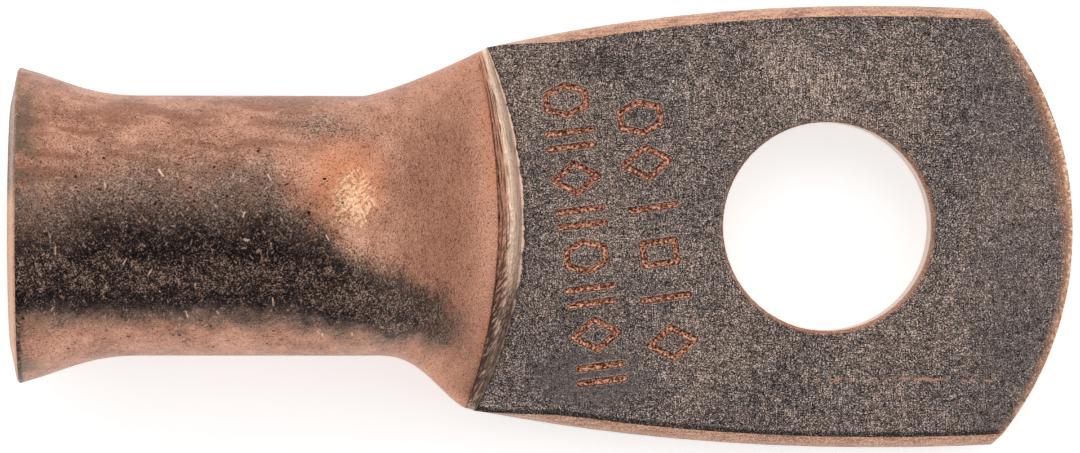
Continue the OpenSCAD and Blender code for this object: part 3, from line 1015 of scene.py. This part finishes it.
struckSet = {
    # edge is painted shade at the sides of the strokes and light the painted highlights among the flakes
    "edge": colour(44, 31, 27), "dark": colour(112, 66, 46), "plain": colour(172, 106, 77),
    "light": colour(255, 204, 178), "halo": colour(206, 172, 154),
    "stops": {"edge": 0.36, "dark": 0.43, "plain": 0.5, "light": 0.6},
    "flakes": (12.0, 2, 0.7), "floor": (0.55, 0.85), "mark": (0.38, 0.58),
    "haloFrom": (0.02, 0.15), "haloTo": (0.45, 0.3), "haloGrit": (0.44, 0.54), "haloShare": 0.75,
}


def struckTones(base, at, grit, struck):
    # Flaked copper in the struck marks, its lightest flakes painted highlights, dark at their edges with
    # painted shade, and a worn halo round them
    s = struckSet
    stamped = namedTones(noise(at, *s["flakes"]), s["stops"], s)
    stamped = lay(s["edge"], stamped, ramp(struck, *s["floor"]))
    halo = mask((struck, s["haloFrom"]), (struck, s["haloTo"]), (grit, s["haloGrit"]))
    base = lay(base, s["halo"], halo, s["haloShare"])
    return lay(base, stamped, ramp(struck, *s["mark"]))


def palmPatina():
    s = palmSet
    material, shader = newMaterial("palmPatina")
    place = useGroup(lugPlace)
    at, x, y, across = (place[k] for k in ("Place", "X", "Y", "Across"))
    base, skinTone = palmGround(at, x, y)
    grit = skinTone["Grit"]
    # Painted shade along the right side and at the bead's foot, where the crest's painted highlight
    # spills over onto the palm
    shade = mask((fromSide(x, y), s["edgeShade"]), (y, s["edgeY"]))
    ragged = raggedAcross(at, across)
    shade = calc("MAXIMUM", shade, ramp(ragged, *s["footShade"]))
    base = lay(base, s["line"], shade, ramp(grit, *s["shadeGrit"]))
    base = lay(base, beadSet["crest"], mask((ragged, s["spill"]), (y, s["spillY"])))
    base, worn = rimTones(base, at, x, y, grit)
    struck = addNode("ShaderNodeAttribute", attribute_name="struck").outputs["Fac"]
    base = struckTones(base, at, grit, struck)
    metal = ramp(calc("MAXIMUM", struck, worn), *s["metal"])
    dress(shader, base, ramp(grit, *s["rough"]), metal, skinTone["Relief"], s["depth"])
    return material


cutSet = {
    "pale": colour(226, 182, 154), "bright": colour(206, 158, 130), "plain": colour(172, 124, 99),
    "dull": colour(104, 76, 62), "gold": colour(206, 158, 122), "green": colour(118, 98, 82),
    "line": colour(48, 34, 28), "wall": colour(224, 205, 192),
    "stops": {"dull": 0.4, "plain": 0.47, "bright": 0.53, "pale": 0.61},
    "shares": {"grit": 0.4, "cloud": 0.18, "clump": 0.2, "drawn": 0.22},
    "fineness": 18.0, "cloud": (1.1, 4, 0.6), "drawn": (0, 0.8, 0.07),
    "rightY": (-4.0, -5.0), "rightGrit": (0.4, 0.6, 0.5, 0.1),
    # set back from the mouth, and out from the hole
    "lipBack": (0.6, 0.4), "lipY": (1.3, 0.6), "lipClump": (0.4, 0.55, 0.35, 0.8),
    "holeOut": (0.3, 0.2), "wallZ": (1.5, 1.95), "wallShare": 0.8,
    "rough": (0.3, 0.7, 0.32, 0.5), "metal": 1.0, "depth": 0.012,
}


def cutCopper():
    # Sides of the palm, walls of the hole, the end and the lip
    s = cutSet
    material, shader = newMaterial("cutCopper")
    place = useGroup(lugPlace)
    at, x, y, z = (place[k] for k in ("Place", "X", "Y", "Z"))
    grain = useGroup(metalGrain, Place=at, Fineness=s["fineness"])
    layers = {
        "grit": grain["Grit"], "clump": grain["Clump"], "cloud": noise(at, *s["cloud"]),
        "drawn": streak(at, *s["drawn"])}
    base = namedTones(mixLayers(layers, s["shares"]), s["stops"], s)
    base = lay(base, s["dull"], mask((y, s["rightY"]), (grain["Grit"], s["rightGrit"])))

    # The lip is golden on the right and stained on the left
    onLip = ramp(x, *(tube["mouth"] + back for back in s["lipBack"]))
    lipTone = lay(s["green"], s["gold"], ramp(y, *s["lipY"]))
    base = lay(base, lipTone, onLip, ramp(grain["Clump"], *s["lipClump"]))

    # Below its dark upper edge, the wall of the hole is bright
    fromAxis = vectorCalc("LENGTH", vectorCalc("MULTIPLY", at, (1, 1, 0)))
    inHole = ramp(fromAxis, *(palm["holeRadius"] + out for out in s["holeOut"]))
    wall = lay(s["wall"], s["line"], ramp(z, *s["wallZ"]))
    base = lay(base, wall, inHole, s["wallShare"])
    rough = ramp(grain["Clump"], *s["rough"])
    dress(shader, base, rough, s["metal"], grain["Relief"], s["depth"])
    return material


boreSet = {
    "dull": colour(150, 106, 82), "dark": colour(84, 60, 50), "fineness": 8.0,
    "clump": (0.38, 0.62), "drawn": (0, 4.0, 0.12), "drawnSpan": (0.52, 0.6, 0.0, 0.4),
    "rough": (0.3, 0.7, 0.44, 0.62), "metal": 0.9, "depth": 0.012,
}


def boreCopper():
    s = boreSet
    material, shader = newMaterial("boreCopper")
    at = useGroup(lugPlace)["Place"]
    grain = useGroup(metalGrain, Place=at, Fineness=s["fineness"])
    drawn = streak(at, *s["drawn"])
    base = lay(s["dark"], s["dull"], ramp(grain["Clump"], *s["clump"]))
    base = lay(base, s["dark"], ramp(drawn, *s["drawnSpan"]))
    rough = ramp(grain["Clump"], *s["rough"])
    dress(shader, base, rough, s["metal"], grain["Relief"], s["depth"])
    return material


for makeFinish in (tubeCopper, palmPatina, cutCopper, boreCopper):
    skin.data.materials.append(makeFinish())
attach(skin, "root")
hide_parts("lug")
print("finishes laid on")


# The lug rests on its flared lip and the tip of its palm, so the floor tilts against its frame
floorSet = {
    "size": 3.0, "colour": (0.92, 0.92, 0.92, 1), "rough": 0.9, "glow": 0.5,
    "lipX": -25.9, "lipZ": -0.875,
}


def makeFloor():
    s = floorSet
    tilt = math.atan2(-s["lipZ"], palm["end"] - s["lipX"])
    deselectAll()
    bpy.ops.mesh.primitive_plane_add(
        size=s["size"], location=(palm["end"] * mm, 0, 0), rotation=(0, -tilt, 0))
    floor = bpy.context.object
    floor.name = "floor"
    bpy.ops.object.transform_apply(location=True, rotation=True, scale=True)
    material, shader = newMaterial("paleFloor")
    shader.inputs["Base Color"].default_value = s["colour"]
    shader.inputs["Roughness"].default_value = s["rough"]
    shader.inputs["Emission Color"].default_value = (1, 1, 1, 1)
    path = addNode("ShaderNodeLightPath")
    seen = calc("MAXIMUM", path.outputs["Is Camera Ray"], path.outputs["Is Glossy Ray"])
    seen = calc("MAXIMUM", seen, path.outputs["Is Transmission Ray"])
    feed(times(seen, s["glow"]), shader.inputs["Emission Strength"])
    floor.data.materials.append(material)


lightSet = {
    # the sky is darker towards its pole
    "pole": (0.0, -0.5, 0.87), "sky": (0.2, 0.95, 0.95, 0.55),
    "lamps": {
        "sideLamp": {"from": (-0.02, 0.3, 0.3), "size": 0.3, "power": 0.25},
        "endLamp": {"from": (0.35, 0.05, 0.2), "size": 0.2, "power": 0.15},
    },
}


def makeLight():
    s = lightSet
    world = bpy.data.worlds.new("studio")
    bpy.context.scene.world = world
    world.use_nodes = True
    openTree(world.node_tree)
    tree.nodes.clear()
    where = addNode("ShaderNodeTexCoord")
    toPole = vectorCalc("DOT_PRODUCT", where.outputs["Generated"], s["pole"])
    background = addNode("ShaderNodeBackground")
    background.inputs["Color"].default_value = (1, 1, 1, 1)
    feed(ramp(toPole, *s["sky"]), background.inputs["Strength"])
    output = addNode("ShaderNodeOutputWorld")
    feed(background.outputs[0], output.inputs[0])
    middle = (lugLow + lugHigh) / 2
    for name, settings in s["lamps"].items():
        light = bpy.data.lights.new(name, "AREA")
        light.size = settings["size"]
        light.energy = settings["power"]
        lamp = bpy.data.objects.new(name, light)
        lamp.location = settings["from"]
        lamp.rotation_euler = (middle - lamp.location).to_track_quat("-Z", "Y").to_euler()
        bpy.context.collection.objects.link(lamp)
    bpy.context.scene.view_settings.view_transform = "Standard"


makeFloor()
makeLight()
print("floor and light set")
